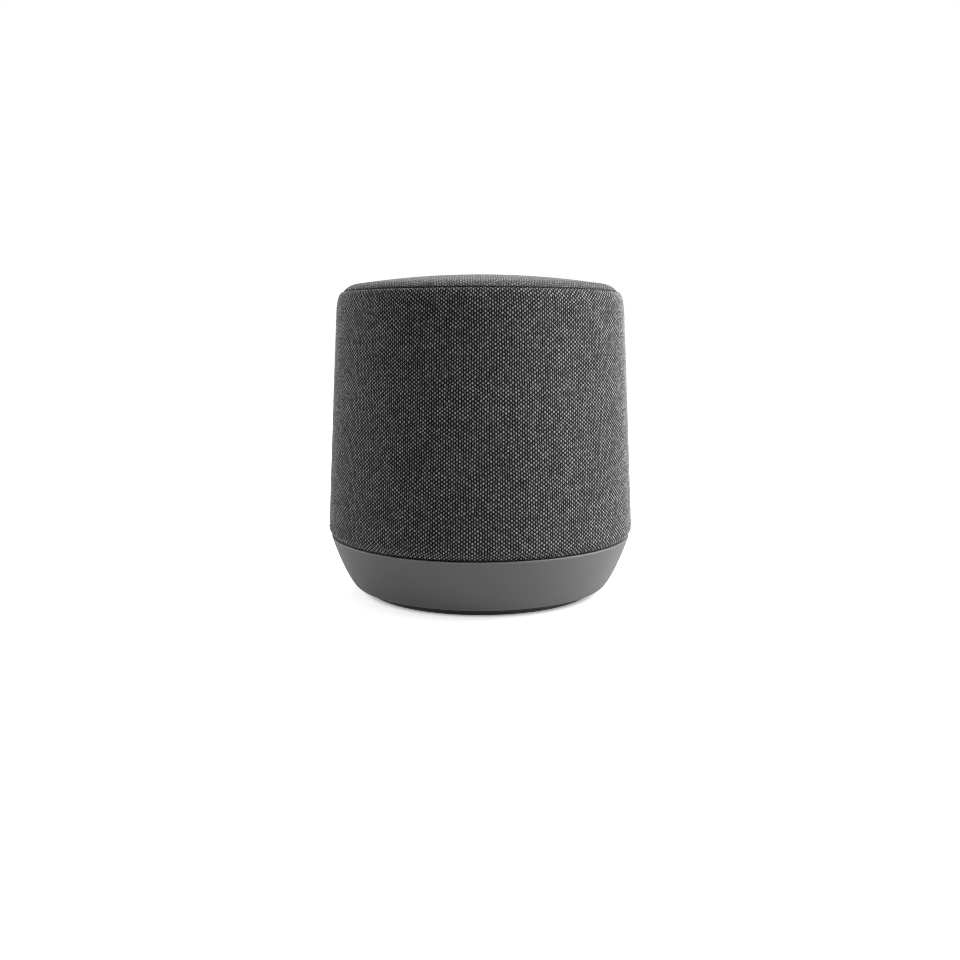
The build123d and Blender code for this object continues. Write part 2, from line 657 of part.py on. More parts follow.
# ---------------------------------------------------------------- top cap
def build_cap():
    """The domed cap with its fabric, and the touch and microphone board below it."""
    save(dome(CAP_RADIUS, CAP_EDGE_RADIUS, TOTAL_HEIGHT, CAP_SKIRT_BOTTOM, CAP_FABRIC), "cap_fabric")

    radius = CAP_RADIUS - CAP_FABRIC - 0.05
    apex = TOTAL_HEIGHT - CAP_FABRIC - 0.05
    disc_edge = CAP_EDGE_RADIUS - CAP_FABRIC
    cap = dome(radius, disc_edge, apex, SHELF_TOP, CAP_WALL)
    under = apex - CAP_WALL
    screw_bosses = spots(3, CAP_SCREW_CIRCLE, 30)
    cap += ring(57.2, radius - CAP_WALL + 0.3, SHELF_TOP, 147.0)
    board_bosses = spots(4, TOP_BOARD_SCREW_CIRCLE, 45)
    for boss in pegs(board_bosses, 2.6, TOP_BOARD_TOP, under - 1.0):
        cap += boss
    for hole in pegs(screw_bosses, SCREW_HOLE_RADIUS, SHELF_TOP - 1, 145.6):
        cap -= hole
    for hole in pegs(board_bosses, SCREW_HOLE_RADIUS, TOP_BOARD_TOP - 1, under - 1.2):
        cap -= hole
    for hole in pegs(spots(6, 40.0, 0), 0.7, 148, TOTAL_HEIGHT):
        cap -= hole
    for hole in pegs(spots(12, 14.0, 0), 0.8, 148, TOTAL_HEIGHT):
        cap -= hole
    save(cap, "cap_disc")
    save(Compound(screws(screw_bosses, SHELF_TOP - 2, 145.2)), "cap_screws")

    board = disc(46.0, TOP_BOARD_BOTTOM, TOP_BOARD_TOP)
    for hole in pegs(board_bosses, SCREW_HOLE_RADIUS, TOP_BOARD_BOTTOM - 1, TOP_BOARD_TOP + 1):
        board -= hole
    save(board, "top_board")
    save(Compound(screws(board_bosses, TOP_BOARD_BOTTOM, under - 1.6)), "top_board_screws")

    mic_top = TOP_BOARD_TOP + 1.1
    mics, seals, leds = [], [], []
    for k in range(6):
        turn = Rot(0, 0, 60 * k)
        mics.append(turn * block((38, 42), (-1.5, 1.5), (TOP_BOARD_TOP, mic_top)))
        seals.append(turn * Pos(40, 0, 0) * ring(0.8, 2.2, mic_top, mic_top + 0.9))
    for k in range(4):
        led = block((13.2, 14.8), (-1.6, 1.6), (TOP_BOARD_TOP, TOP_BOARD_TOP + 0.8))
        leds.append(Rot(0, 0, 90 * k) * led)
    save(Compound(mics), "microphones")
    save(Compound(seals), "mic_seals")
    save(Compound(leds), "status_leds")
    save(ring(11.0, 17.0, TOP_BOARD_TOP + 0.9, under - 0.7), "light_guide")


# ---------------------------------------------------------------- internal cables
def build_cables():
    """The flat cable to the cap and the two leads to the driver, along their fixed routes."""
    low, high = MAIN_BOARD_TOP + 2.0, 134.0
    route = FilletPolyline(
        (-42.0, low),
        (-RIBBON_RADIUS, low),
        (-RIBBON_RADIUS, high),
        (-40.0, high),
        (-40.0, TOP_BOARD_BOTTOM - 2.0),
        radius=4.0,
    )
    section = trace(route, RIBBON_THICKNESS)
    ribbon = extrude(Plane.YZ * section, RIBBON_WIDTH / 2, both=True)
    save(ribbon, "ribbon_cable")

    leads = []
    for side in (-1, 1):
        path = FilletPolyline(
            (40.0, side * LEAD_SPREAD, MAIN_BOARD_TOP + 2.5),
            (LEAD_CIRCLE, side * LEAD_SPREAD, MAIN_BOARD_TOP + 2.5),
            (LEAD_CIRCLE, side * LEAD_SPREAD, 76.2),
            (37.3, side * LEAD_SPREAD, 76.2),
            radius=4.0,
        )
        lead = sweep(Plane(path @ 0, z_dir=path % 0) * Circle(LEAD_RADIUS), path=path)
        leads.append(Rot(0, 0, LEAD_ANGLE) * lead)
    save(Compound(leads), "woofer_leads")


build_base()
build_bay()
build_main_board()
build_reflector()
build_enclosure()
for radiator_side, radiator_name in ((-1, "left"), (1, "right")):
    build_radiator(radiator_side, radiator_name)
build_driver()
build_wall()
build_cap()
build_cables()
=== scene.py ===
import json
import math

import bmesh
import bpy
import numpy as np
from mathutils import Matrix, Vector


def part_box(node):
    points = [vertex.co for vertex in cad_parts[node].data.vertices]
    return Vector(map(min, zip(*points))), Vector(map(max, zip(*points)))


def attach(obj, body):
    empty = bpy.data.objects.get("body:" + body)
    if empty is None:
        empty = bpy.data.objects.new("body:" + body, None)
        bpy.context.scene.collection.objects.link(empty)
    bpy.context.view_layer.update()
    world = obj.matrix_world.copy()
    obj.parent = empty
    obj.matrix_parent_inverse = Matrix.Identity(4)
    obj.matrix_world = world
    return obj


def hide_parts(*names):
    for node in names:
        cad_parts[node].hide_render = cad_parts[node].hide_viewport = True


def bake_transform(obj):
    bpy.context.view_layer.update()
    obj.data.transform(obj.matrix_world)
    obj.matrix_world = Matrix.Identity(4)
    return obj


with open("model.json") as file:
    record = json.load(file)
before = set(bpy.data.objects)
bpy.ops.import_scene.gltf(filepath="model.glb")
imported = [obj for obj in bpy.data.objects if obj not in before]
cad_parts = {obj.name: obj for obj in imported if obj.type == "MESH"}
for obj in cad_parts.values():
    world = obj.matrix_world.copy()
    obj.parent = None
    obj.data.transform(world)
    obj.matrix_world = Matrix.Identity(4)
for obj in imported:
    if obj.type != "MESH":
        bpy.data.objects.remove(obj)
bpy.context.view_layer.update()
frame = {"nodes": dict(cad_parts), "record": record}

# Looks of the fabric-covered smart speaker. Metres, +Z up. The front faces -Y.
MM = 0.001
SEED = 11

# Cloth
WARP_YARNS = 412
WEFT_PITCH = 0.86 * MM
CAP_WARP_PITCH = 1.12 * MM
SLEEVE_THICKNESS = 0.65 * MM
CAP_THICKNESS = 0.5 * MM

# Relief over the cloth's face: the warp floats stand out, and the weft lies in between.
RELIEF_FLOAT = 0.07 * MM
RELIEF_FLOAT_END = -0.08 * MM
RELIEF_WEFT = -0.13 * MM
RELIEF_WEFT_SIDE = -0.2 * MM
RELIEF_GAP = -0.32 * MM
CLOTH_RISE = 0.14 * MM  # of the sleeve's cloth, over its section
CAP_RELIEF = 0.45  # of the sleeve's

# Unevenness of the weave, as standard deviations
CROSSING_UNEVEN = 0.025 * MM
RELIEF_UNEVEN = 0.012 * MM
# How the yarns wander sideways, in layers: deviation, and reach in yarns along the warp and weft
WARP_WANDER = ((0.05 * MM, 9, 0), (0.06 * MM, 2, 1), (0.12 * MM, 7, 5))
WEFT_WANDER = ((0.04 * MM, 0, 14), (0.05 * MM, 1, 2), (0.12 * MM, 4, 9))

# Ends of the covers, and the sleeve's seam
FOLD_ROWS = 3  # grid rows over which the sleeve's relief fades into its folded ends
FOLD_SHIFT = (-0.05 * MM, -0.12 * MM)  # of the hem fold's edge, in radius and in height
INNER_STEP = 6  # grid rows to one row of the plain inner face
CAP_RIM_MARGIN = 0.12 * MM
CAP_RIM_FADE = 1.2 * MM
SEAM_ANGLE = math.pi / 2  # round the axis: the seam is at the back
SEAM_DEPTH = 0.28 * MM
SEAM_REACH = 0.8 * MM

# Yarns as the material draws them, as shares of the distance between two yarns
FLOAT_HALF_WIDTH = (0.36, 0.46)
FLOAT_HALF_LENGTH = 0.66
WEFT_HALF_WIDTH = 0.36
WEFT_HALF_LENGTH = 0.7
# How far the tone varies from float to float, from yarn to yarn, in drifts and by filament
FLOAT_TONE = 0.32
WARP_TONE = 0.06
WEFT_TONE = 0.07
DRIFT_TONE = 0.07
FILAMENT_TONE = 0.18
# Tone of the painted shade where the cloth is tucked in, and of the seam's dark line, as shares of
# the open cloth's
TUCK_SHADE_TONE = 0.25
SEAM_TONE = 0.3
SEAM_SPAN = (0.15, 0.9)  # in warp yarns from the seam: its dark line's edge, and plain cloth

# Sleeve's section, where it isn't a limit of the CAD piece
WALL_MIDDLE = (72.5 * MM, 81.7 * MM)
HEM_INSET = 1.75 * MM
WIDEST_ABOVE_HEM = 3.3 * MM
GROOVE_GAP = 0.5 * MM
SHOULDER_WIDTH = 3.0 * MM
SHOULDER_RISE = 10.5 * MM
SHOULDER_START = math.radians(12)
NECK_BELOW_CAP = 0.2 * MM
SLEEVE_CORNERS = 0.55 * MM  # reach of the rounding

# Cap's section
CAP_EDGE_RADIUS = 8.0 * MM
CAP_EDGE_END = math.radians(35)
CAP_DOME_RADIUS = 380 * MM
CAP_CORNERS = 0.7 * MM  # reach of the rounding

# Points along each curve of the two sections, before they are made even
WALL_POINTS = 80
SHOULDER_POINTS = 60
CROWN_POINTS = 120
CAP_EDGE_POINTS = 30
SECTION_STEP = 0.05 * MM

# Floor, by the distance from the object's middle: painted contact shadow at the foot, painted
# shadow under the base's overhang, and a glow that rises a little further out
FLOOR_SIZE = 12.0
FLOOR_LEVEL = -0.02 * MM
FLOOR_GREY = (0.5, 0.5, 0.5)
FLOOR_GREY_SEEN = (0.35, 0.35, 0.35)
FLOOR_GLOW_CAST = 0.22
CONTACT_SHADOW_REACH, CONTACT_SHADOW_TONE = 3.6 * MM, 0.42
OVERHANG_SHADOW_REACH, OVERHANG_SHADOW_TONE = 13 * MM, 0.86
OPEN_NEAR, OPEN_FAR = 0.15, 0.7
OPEN_NEAR_TONE, OPEN_FAR_TONE = 0.88, 1.02

# Light
AMBIENT = 0.03
LIGHT_AIM = Vector((0, 0, 0.08))
SIDE_PANEL = (0.5, 1.0)

# Camera
CAMERA_SIDE = -0.15 * MM
CAMERA_DISTANCE = 504.2 * MM
CAMERA_HEIGHT = 125.5 * MM
CAMERA_PITCH = math.radians(8.05)
LENS = 38.16

rng = np.random.default_rng(SEED)


# ---------------------------------------------------------------- curves
def arc_through(a, b, c, count):
    """Points of the circle's arc from a through b to c."""
    (ax, ay), (bx, by), (cx, cy) = a, b, c
    d = 2 * (ax * (by - cy) + bx * (cy - ay) + cx * (ay - by))
    a2, b2, c2 = ax * ax + ay * ay, bx * bx + by * by, cx * cx + cy * cy
    ux = (a2 * (by - cy) + b2 * (cy - ay) + c2 * (ay - by)) / d
    uy = (a2 * (cx - bx) + b2 * (ax - cx) + c2 * (bx - ax)) / d
    radius = math.hypot(ax - ux, ay - uy)
    start, end = math.atan2(ay - uy, ax - ux), math.atan2(cy - uy, cx - ux)
    turn = np.linspace(start, end, count)
    return np.column_stack([ux + radius * np.cos(turn), uy + radius * np.sin(turn)])


def resampled(points, step):
    """The polyline again, with points as near to the step apart as fits a whole number of them."""
    length = along(points)
    count = max(2, round(length[-1] / step)) + 1
    at = np.linspace(0, length[-1], count)
    return np.column_stack([np.interp(at, length, points[:, k]) for k in (0, 1)])


def along(points):
    """Distance of each point from the first, along the polyline."""
    return np.concatenate([[0], np.cumsum(np.linalg.norm(np.diff(points, axis=0), axis=1))])


def softened(points, reach, step):
    """The polyline with its corners rounded over the reach. Its ends stay."""
    fine = resampled(points, step)
    half = max(1, round(reach / step))
    padded = np.concatenate([
        2 * fine[0] - fine[half:0:-1],
        fine,
        2 * fine[-1] - fine[-2 : -half - 2 : -1],
    ])
    weight = np.hanning(2 * half + 3)[1:-1]
    weight /= weight.sum()
    return np.column_stack([np.convolve(padded[:, k], weight, "valid") for k in (0, 1)])


def directions(points):
    """Unit tangents of the polyline."""
    d = np.gradient(points, axis=0)
    return d / np.linalg.norm(d, axis=1)[:, None]


def side_normals(points):
    """Unit normals of the polyline, to the right of its direction."""
    d = directions(points)
    return np.column_stack([d[:, 1], -d[:, 0]])


# ---------------------------------------------------------------- woven relief
def smooth_noise(shape, reach, wrap=(False, False)):
    """Unit noise over a grid, smooth over the given reach of cells each way."""
    field = rng.standard_normal(shape)
    for axis, size in enumerate(reach):
        if size < 1:
            continue
        kernel = np.hanning(2 * size + 3)[1:-1]
        mode = "wrap" if wrap[axis] else "reflect"
        pad = [(0, 0), (0, 0)]
        pad[axis] = (size, size)
        wide = np.pad(field, pad, mode=mode)
        field = np.apply_along_axis(lambda line: np.convolve(line, kernel, "valid"), axis, wide)
    return field / field.std()


def halves(field, wrap_columns):
    """A field given at the crossings, filled in half-way between them."""
    rows, columns = field.shape
    right = np.roll(field, -1, axis=1)
    if not wrap_columns:
        right[:, -1] = field[:, -1]
    wide = np.empty((rows, 2 * columns))
    wide[:, 0::2] = field
    wide[:, 1::2] = (field + right) / 2
    below = np.roll(wide, -1, axis=0)
    below[-1] = wide[-1]
    tall = np.empty((2 * rows, 2 * columns))
    tall[0::2] = wide
    tall[1::2] = (wide + below) / 2
    return tall


def wandering(shape, layers, wrap_columns):
    """Sideways shift of the yarns, at two grid points to a yarn."""
    shift = sum(
        deviation * smooth_noise(shape, (along_warp, along_weft), (False, wrap_columns))
        for deviation, along_warp, along_weft in layers
    )
    return halves(shift, wrap_columns)


def weave_fields(rows, columns, wrap_columns):
    """Relief and the two sideways shifts of a plain weave, at two grid points to a yarn."""
    weft, warp = np.arange(rows)[:, None], np.arange(columns)[None, :]
    over = (weft + warp) % 2 > 0
    crossing = np.where(over, RELIEF_FLOAT, RELIEF_WEFT)
    crossing = crossing + CROSSING_UNEVEN * rng.standard_normal((rows, columns))
    relief = np.empty((2 * rows, 2 * columns))
    relief[0::2, 0::2] = crossing
    relief[1::2, 0::2] = RELIEF_FLOAT_END
    relief[0::2, 1::2] = RELIEF_WEFT_SIDE
    relief[1::2, 1::2] = RELIEF_GAP
    relief += RELIEF_UNEVEN * rng.standard_normal(relief.shape)
    shift_warp = wandering((rows, columns), WARP_WANDER, wrap_columns)
    shift_weft = wandering((rows, columns), WEFT_WANDER, wrap_columns)
    return relief, shift_warp, shift_weft


def corner_uv(u0, u1, v0, v1):
    """UV of each quad's four corners, in the order that its face lists them."""
    return np.stack([u0, v0, u1, v0, u1, v1, u0, v1], axis=-1).reshape(-1, 2)


def grid_mesh(name, points, quads, uv):
    """A smooth mesh from arrays, with the weave's own coordinates in its UV map."""
    mesh = bpy.data.meshes.new(name)
    mesh.vertices.add(len(points))
    mesh.vertices.foreach_set("co", points.astype(np.float32).ravel())
    mesh.loops.add(quads.size)
    mesh.loops.foreach_set("vertex_index", quads.astype(np.int32).ravel())
    mesh.polygons.add(len(quads))
    mesh.polygons.foreach_set("loop_start", np.arange(0, quads.size, 4, dtype=np.int32))
    mesh.update(calc_edges=True)
    mesh.validate()
    layer = mesh.uv_layers.new(name="Weave")
    layer.data.foreach_set("uv", uv.astype(np.float32).ravel())
    mesh.polygons.foreach_set("use_smooth", np.ones(len(quads), bool))
    piece = bpy.data.objects.new(name, mesh)
    bpy.context.scene.collection.objects.link(piece)
    return piece


def sleeve_section():
    """Outer face of the sleeve's section, from the hem up over the shoulder and down the neck."""
    low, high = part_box("fabric_sleeve")
    cap_low, cap_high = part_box("cap_fabric")
    groove = cap_high.x + GROOVE_GAP
    centre = high.z - SHOULDER_RISE
    turn = np.linspace(SHOULDER_START, math.pi / 2, SHOULDER_POINTS)
    shoulder = np.column_stack([
        groove + SHOULDER_WIDTH * np.cos(turn),
        centre + SHOULDER_RISE * np.sin(turn),
    ])
    widest = (high.x, low.z + WIDEST_ABOVE_HEM)
    wall = arc_through(widest, WALL_MIDDLE, tuple(shoulder[0]), WALL_POINTS)
    hem = np.array([[high.x - HEM_INSET, low.z]])
    neck = np.array([[groove, cap_low.z - NECK_BELOW_CAP]])
    section = np.concatenate([hem, wall, shoulder[1:], neck])
    return softened(section, SLEEVE_CORNERS, SECTION_STEP)


def woven_face(outer, turn):
    """Radius, height and angle of the sleeve's woven face, at two grid points to a yarn."""
    normals, tangents = side_normals(outer), directions(outer)
    relief, shift_warp, shift_weft = weave_fields(len(outer) // 2, WARP_YARNS, True)
    # The cloth is folded under at both ends, so the relief fades there.
    from_end = np.minimum(np.arange(len(outer)), np.arange(len(outer))[::-1])
    fade = np.clip(from_end / FOLD_ROWS, 0, 1)[:, None]
    # The sewn seam at the back pulls the cloth in along a line.
    from_seam = np.abs((turn - SEAM_ANGLE + math.pi) % (2 * math.pi) - math.pi) * outer[:, :1]
    seam = -SEAM_DEPTH * np.exp(-((from_seam / SEAM_REACH) ** 2))
    out = relief * fade + seam + CLOTH_RISE * fade
    up = shift_weft * fade
    radius = outer[:, :1] + out * normals[:, :1] + up * tangents[:, :1]
    height = outer[:, 1:] + out * normals[:, 1:] + up * tangents[:, 1:]
    angle = turn[None, :] + shift_warp * fade / outer[:, :1]
    return radius, height, angle


def inner_face(outer):
    """Section of the sleeve's plain inner face, from the neck down to the hem's fold."""
    normals = side_normals(outer)
    inner = outer - SLEEVE_THICKNESS * normals
    fold = outer[0] - SLEEVE_THICKNESS / 2 * normals[0] + np.array(FOLD_SHIFT)
    return np.concatenate([inner[::-1][::INNER_STEP], inner[:1], fold[None, :]])


def make_sleeve():
    """The woven sleeve: a closed skin, woven outside, with a plain inner face."""
    outer = resampled(sleeve_section(), WEFT_PITCH / 2)
    if len(outer) % 2:
        outer = resampled(outer, along(outer)[-1] / (len(outer) - 2))
    turn = np.arange(2 * WARP_YARNS) / (2 * WARP_YARNS) * 2 * math.pi + SEAM_ANGLE
    woven = woven_face(outer, turn)
    inner = inner_face(outer)
    plain = np.ones((len(inner), len(turn)))
    radius, height, angle = (
        np.concatenate([face, back * plain])
        for face, back in zip(woven, (inner[:, :1], inner[:, 1:], turn[None, :]))
    )
    points = np.stack([radius * np.cos(angle), radius * np.sin(angle), height], axis=-1)
    rows, columns = radius.shape
    row, column = np.meshgrid(np.arange(rows), np.arange(columns), indexing="ij")
    up, right = (row + 1) % rows, (column + 1) % columns
    corners = ((row, column), (row, right), (up, right), (up, column))
    quads = np.stack([r * columns + c for r, c in corners], axis=-1).reshape(-1, 4)
    inner_v = len(outer) / 2 + along(inner) / WEFT_PITCH + 1
    v_of = np.concatenate([np.arange(len(outer)) / 2, inner_v, [inner_v[-1] + 1]])
    uv = corner_uv(column / 2, (column + 1) / 2, v_of[row], v_of[row + 1])
    piece = grid_mesh("woven_sleeve", points.reshape(-1, 3), quads, uv)
    flat = (2 * math.pi * WALL_MIDDLE[0], float(along(outer)[-1]))
    return piece, flat


def cap_section():
    """Section of the cap's cloth from the middle of its crown out over the edge and down."""
    low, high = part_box("cap_fabric")
    rim = high.x - CAP_EDGE_RADIUS * math.cos(CAP_EDGE_END)
    reach = np.linspace(0, rim, CROWN_POINTS)
    sag = CAP_DOME_RADIUS - np.sqrt(CAP_DOME_RADIUS**2 - reach**2)
    crown = np.column_stack([reach, high.z - sag])
    rim_height = crown[-1, 1] - CAP_EDGE_RADIUS
    turn = np.linspace(math.pi / 2, CAP_EDGE_END, CAP_EDGE_POINTS)[1:]
    edge = np.column_stack([
        rim + CAP_EDGE_RADIUS * np.cos(turn),
        rim_height + CAP_EDGE_RADIUS * np.sin(turn),
    ])
    foot = np.array([[high.x, low.z]])
    return softened(np.concatenate([crown, edge, foot]), CAP_CORNERS, SECTION_STEP)


def make_cap():
    """The cap's woven cloth: a flat weave wrapped over the dome and its rounded edge."""
    section = cap_section()
    length = along(section)
    reach = length[-1]
    # The section runs down as it goes out, so its left side is the outside.
    normals = -side_normals(section)
    columns = math.ceil(reach / CAP_WARP_PITCH) * 2 + 3
    rows = math.ceil(reach / WEFT_PITCH) * 2 + 3
    relief, shift_warp, shift_weft = weave_fields(rows, columns, False)
    a = (np.arange(2 * columns) - columns)[None, :] * CAP_WARP_PITCH / 2 + shift_warp
    b = (np.arange(2 * rows) - rows)[:, None] * WEFT_PITCH / 2 + shift_weft
    far = np.hypot(a, b)
    inside = far < reach - CAP_RIM_MARGIN
    near = inside.copy()
    for dy in (-1, 0, 1):
        for dx in (-1, 0, 1):
            near |= np.roll(np.roll(inside, dy, axis=0), dx, axis=1)
    # Points just past the rim are brought back onto it.
    rho = np.minimum(far, reach)
    fade = np.clip((reach - rho) / CAP_RIM_FADE, 0, 1)
    out = CAP_RELIEF * relief * fade
    radius, height = (np.interp(rho, length, section[:, k]) for k in (0, 1))
    n_r, n_z = (np.interp(rho, length, normals[:, k]) for k in (0, 1))
    scale = (radius + out * n_r) / np.maximum(far, 1e-9)
    points = np.stack([a * scale, b * scale, height + out * n_z], axis=-1)
    index = np.full(inside.shape, -1)
    index[near] = np.arange(int(near.sum()))
    keep = inside[:-1, :-1] | inside[:-1, 1:] | inside[1:, 1:] | inside[1:, :-1]
    corners = (index[:-1, :-1], index[:-1, 1:], index[1:, 1:], index[1:, :-1])
    quads = np.stack([corner[keep] for corner in corners], axis=-1)
    row, column = np.nonzero(keep)
    uv = corner_uv(column / 2, (column + 1) / 2, row / 2, (row + 1) / 2)
    piece = grid_mesh("woven_cap", points[near], quads, uv)
    bm = bmesh.new()
    bm.from_mesh(piece.data)
    rim = [v for v in bm.verts if v.is_boundary]
    bmesh.ops.remove_doubles(bm, verts=rim, dist=CAP_RIM_MARGIN)
    bm.to_mesh(piece.data)
    bm.free()
    skin = piece.modifiers.new("thickness", "SOLIDIFY")
    skin.thickness = CAP_THICKNESS
    skin.offset = -1
    return piece, float(reach)


# ---------------------------------------------------------------- materials
class Graph:
    """A node material being put together."""

    def __init__(self, name, **sockets):
        self.material = bpy.data.materials.new(name)
        self.material.use_nodes = True
        self.tree = self.material.node_tree
        self.shader = self.tree.nodes["Principled BSDF"]
        for socket, value in sockets.items():
            self.set(socket.replace("_", " "), value)

    def set(self, socket, value):
        self.feed(self.shader.inputs[socket], value)

    def feed(self, socket, value):
        if isinstance(value, bpy.types.NodeSocket):
            self.tree.links.new(value, socket)
        else:
            socket.default_value = value

    def node(self, kind, inputs=(), **settings):
        made = self.tree.nodes.new("ShaderNode" + kind)
        for key, value in settings.items():
            setattr(made, key, value)
        for key, value in dict(inputs).items():
            self.feed(made.inputs[key], value)
        return made

    def math(self, operation, *values, clamp=False):
        made = self.node("Math", enumerate(values), operation=operation, use_clamp=clamp)
        return made.outputs[0]

    def mix(self, factor, a, b):
        return self.node("Mix", {0: factor, 2: a, 3: b}, data_type="FLOAT").outputs[0]

    def tint(self, factor, a, b):
        a, b = (c if isinstance(c, bpy.types.NodeSocket) else (*c, 1) for c in (a, b))
        return self.node("Mix", {0: factor, 6: a, 7: b}, data_type="RGBA").outputs[2]

    def dim(self, colour, factor):
        made = self.node("VectorMath", {0: colour, "Scale": factor}, operation="SCALE")
        return made.outputs[0]

    def span(self, value, low, high, to_low=0.0, to_high=1.0):
        made = self.node("MapRange", {0: value, 1: low, 2: high, 3: to_low, 4: to_high})
        return made.outputs[0]

    def vary(self, value, amount, low=0.3, high=0.7):
        """A factor that goes from the amount under 1 to the amount over 1."""
        return self.span(value, low, high, 1 - amount, 1 + amount)

    def colour(self, value):
        """One colour, for other nodes to vary."""
        made = self.node("RGB").outputs[0]
        made.default_value = (*value, 1)
        return made

    def white_noise(self, dimensions, inputs):
        made = self.node("TexWhiteNoise", inputs, noise_dimensions=dimensions)
        return made.outputs["Value"]

    def yarn_body(self, across, half_width, lengthwise, half_length, blunt):
        """Height of a yarn's round body: 1 in its middle, 0 past its sides and its ends."""
        side = self.math("POWER", self.math("DIVIDE", across, half_width), 2.0)
        end = self.math("POWER", self.math("DIVIDE", lengthwise, half_length), blunt)
        return self.math("SUBTRACT", 1.0, self.math("ADD", side, end), clamp=True)

    def height_here(self):
        return self.node("SeparateXYZ", {0: self.place()}).outputs[2]

    def place(self, scale=(1, 1, 1)):
        """Object coordinates, stretched by the scale."""
        at = self.node("TexCoord").outputs["Object"]
        return self.node("Mapping", {"Vector": at, "Scale": scale}).outputs[0]

    def noise(self, scale, detail=2.0, stretch=(1, 1, 1), rough=0.5):
        made = self.node(
            "TexNoise",
            {"Vector": self.place(stretch), "Scale": scale, "Detail": detail, "Roughness": rough},
        )
        return made.outputs["Fac"]

    def bump(self, height, distance, strength=1.0, normal=None):
        inputs = {"Height": height, "Distance": distance, "Strength": strength}
        if normal is not None:
            inputs["Normal"] = normal
        return self.node("Bump", inputs).outputs[0]


def weave_look(name, warp_colour, weft_colour, gap_shade, tuck_shade, seam_at_start=False):
    """Plain weave: long bright warp floats in turn, darker weft between them, and painted shade in
    the gaps.

    Each tuck is a pair of heights: painted shade darkens the cloth at the first height, where it
    is tucked in, and fades out by the second. A seam at the start runs along the first warp yarn,
    where the cloth's two edges meet.
    """
    g = Graph(name, Sheen_Weight=0.08, Sheen_Roughness=0.45)
    g.set("Specular IOR Level", 0.08)
    uv = g.node("UVMap", uv_map="Weave").outputs[0]
    u, v = g.node("SeparateXYZ", {0: uv}).outputs[:2]
    cell_u, cell_v = g.math("ROUND", u), g.math("ROUND", v)
    du = g.math("ABSOLUTE", g.math("SUBTRACT", u, cell_u))
    dv = g.math("ABSOLUTE", g.math("SUBTRACT", v, cell_v))
    warp_over = g.math("PINGPONG", g.math("ADD", cell_u, cell_v), 1.0)
    # Distance along the warp from the middle of the nearest float, and along the weft likewise.
    on_warp = g.mix(warp_over, g.math("SUBTRACT", 1.0, dv), dv)
    on_weft = g.mix(warp_over, du, g.math("SUBTRACT", 1.0, du))
    # Each float keeps one tone from end to end: its number is that of its own middle.
    staggered = g.math("ADD", v, g.math("PINGPONG", cell_u, 1.0))
    middle = g.math("FLOOR", g.math("MULTIPLY", staggered, 0.5))
    cell = g.node("CombineXYZ", {0: cell_u, 1: middle}).outputs[0]
    by_cell = g.white_noise("2D", {"Vector": cell})
    by_warp = g.white_noise("1D", {"W": cell_u})
    by_weft = g.white_noise("1D", {"W": cell_v})
    thick = g.span(by_cell, 0, 1, *FLOAT_HALF_WIDTH)
    warp_body = g.yarn_body(du, thick, on_warp, FLOAT_HALF_LENGTH, 3.0)
    weft_body = g.yarn_body(dv, WEFT_HALF_WIDTH, on_weft, WEFT_HALF_LENGTH, 4.0)
    # Fine filaments, twisted a little round the yarn.
    twist = g.math("ADD", g.math("MULTIPLY", du, 10.0), g.math("MULTIPLY", on_warp, 2.4))
    strand = g.node("CombineXYZ", {0: g.math("MULTIPLY", cell_u, 3.7), 1: twist}).outputs[0]
    strands = g.node(
        "TexNoise", {"Vector": strand, "Scale": 1.3, "Detail": 3.0}, noise_dimensions="2D"
    ).outputs["Fac"]
    tone = g.vary(by_warp, WARP_TONE, 0, 1)
    for factor in (
        g.vary(by_weft, WEFT_TONE, 0, 1),
        g.vary(by_cell, FLOAT_TONE, 0, 1),
        g.vary(g.noise(55.0, 3.0), DRIFT_TONE),
        g.vary(strands, FILAMENT_TONE),
    ):
        tone = g.math("MULTIPLY", tone, factor)
    # The weft fades at its sides into the painted shade of the gaps.
    weft = g.tint(g.math("POWER", weft_body, 0.7), gap_shade, weft_colour)
    rounded = g.math("POWER", warp_body, 0.6)
    cloth = g.tint(rounded, weft, g.dim(g.colour(warp_colour), tone))
    height_here = g.height_here()
    # Painted shade where the cloth is tucked in at the groove and at the hem: darker towards each
    # tuck.
    for shaded_at, unshaded_at in tuck_shade:
        cloth = g.dim(cloth, g.span(height_here, shaded_at, unshaded_at, TUCK_SHADE_TONE, 1.0))
    if seam_at_start:
        from_seam = g.math("PINGPONG", u, WARP_YARNS / 2)
        cloth = g.dim(cloth, g.span(from_seam, *SEAM_SPAN, SEAM_TONE, 1.0))
    g.set("Base Color", cloth)
    yarns = g.math("MAXIMUM", rounded, g.math("MULTIPLY", weft_body, 0.4))
    height = g.math("ADD", yarns, g.math("MULTIPLY", strands, 0.3))
    g.set("Normal", g.bump(height, 0.1 * MM, 0.6))
    g.set("Roughness", g.span(strands, 0.2, 0.8, 0.74, 0.92))
    return g.material


def moulded(name, colour, rough, grain, depth, mottle=0.05, specular=0.45):
    """Moulded plastic or rubber: a fine surface grain, slight flow mottle and uneven gloss."""
    g = Graph(name)
    g.set("Specular IOR Level", specular)
    fine = g.noise(grain, 2.0, rough=0.6)
    flow = g.vary(g.noise(28.0, 3.0), mottle)
    speck = g.vary(fine, mottle * 0.6, 0.25, 0.75)
    g.set("Base Color", g.dim(g.dim(g.colour(colour), flow), speck))
    g.set("Roughness", g.span(g.noise(70.0, 4.0), 0.3, 0.7, rough - 0.04, rough + 0.04))
    g.set("Normal", g.bump(fine, depth, 0.7))
    return g.material


